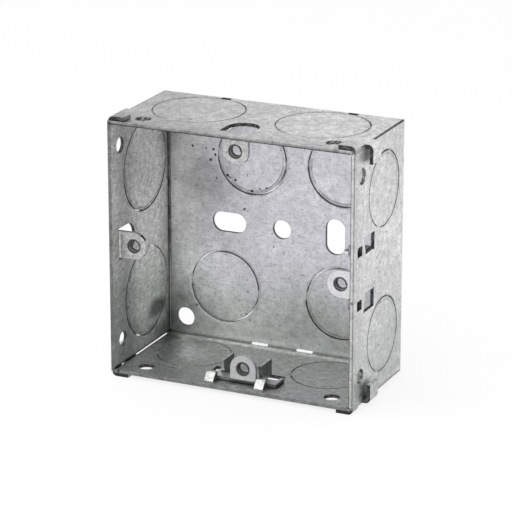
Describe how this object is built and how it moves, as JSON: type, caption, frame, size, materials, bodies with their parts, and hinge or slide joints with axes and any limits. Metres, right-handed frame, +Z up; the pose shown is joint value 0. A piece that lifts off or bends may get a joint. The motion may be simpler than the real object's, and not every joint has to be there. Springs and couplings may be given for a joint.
{
  "type": "flush back box",
  "caption": "Square folded steel box that is set flush in a wall and holds a wiring accessory, with knockouts, fixed screw lugs and sliding screw lugs.",
  "frame": {"origin": "centre of the back's outer face, on the axis of the centre fixing hole", "axes": "+X to the right seen from the open front, +Y into the wall, +Z up"},
  "size_m": [0.0752, 0.035, 0.0732],
  "materials": {
    "galvanised_sheet": "galvanised, faintly spangled and streaked",
    "galvanised_lug": "galvanised, bright sheared edges"
  },
  "bodies": {
    "box": {"box_body": "galvanised_sheet"},
    "right_slider": {"right_lug": "galvanised_lug"},
    "bottom_slider": {"bottom_lug": "galvanised_lug"}
  },
  "joints": [
    {"name": "right_lug_slide", "type": "slide", "parent": "box", "child": "right_slider", "axis": [0, 0, 1], "range_m": [0, 0.0042]},
    {"name": "bottom_lug_slide", "type": "slide", "parent": "box", "child": "bottom_slider", "axis": [1, 0, 0], "range_m": [-0.0042, 0]}
  ]
}
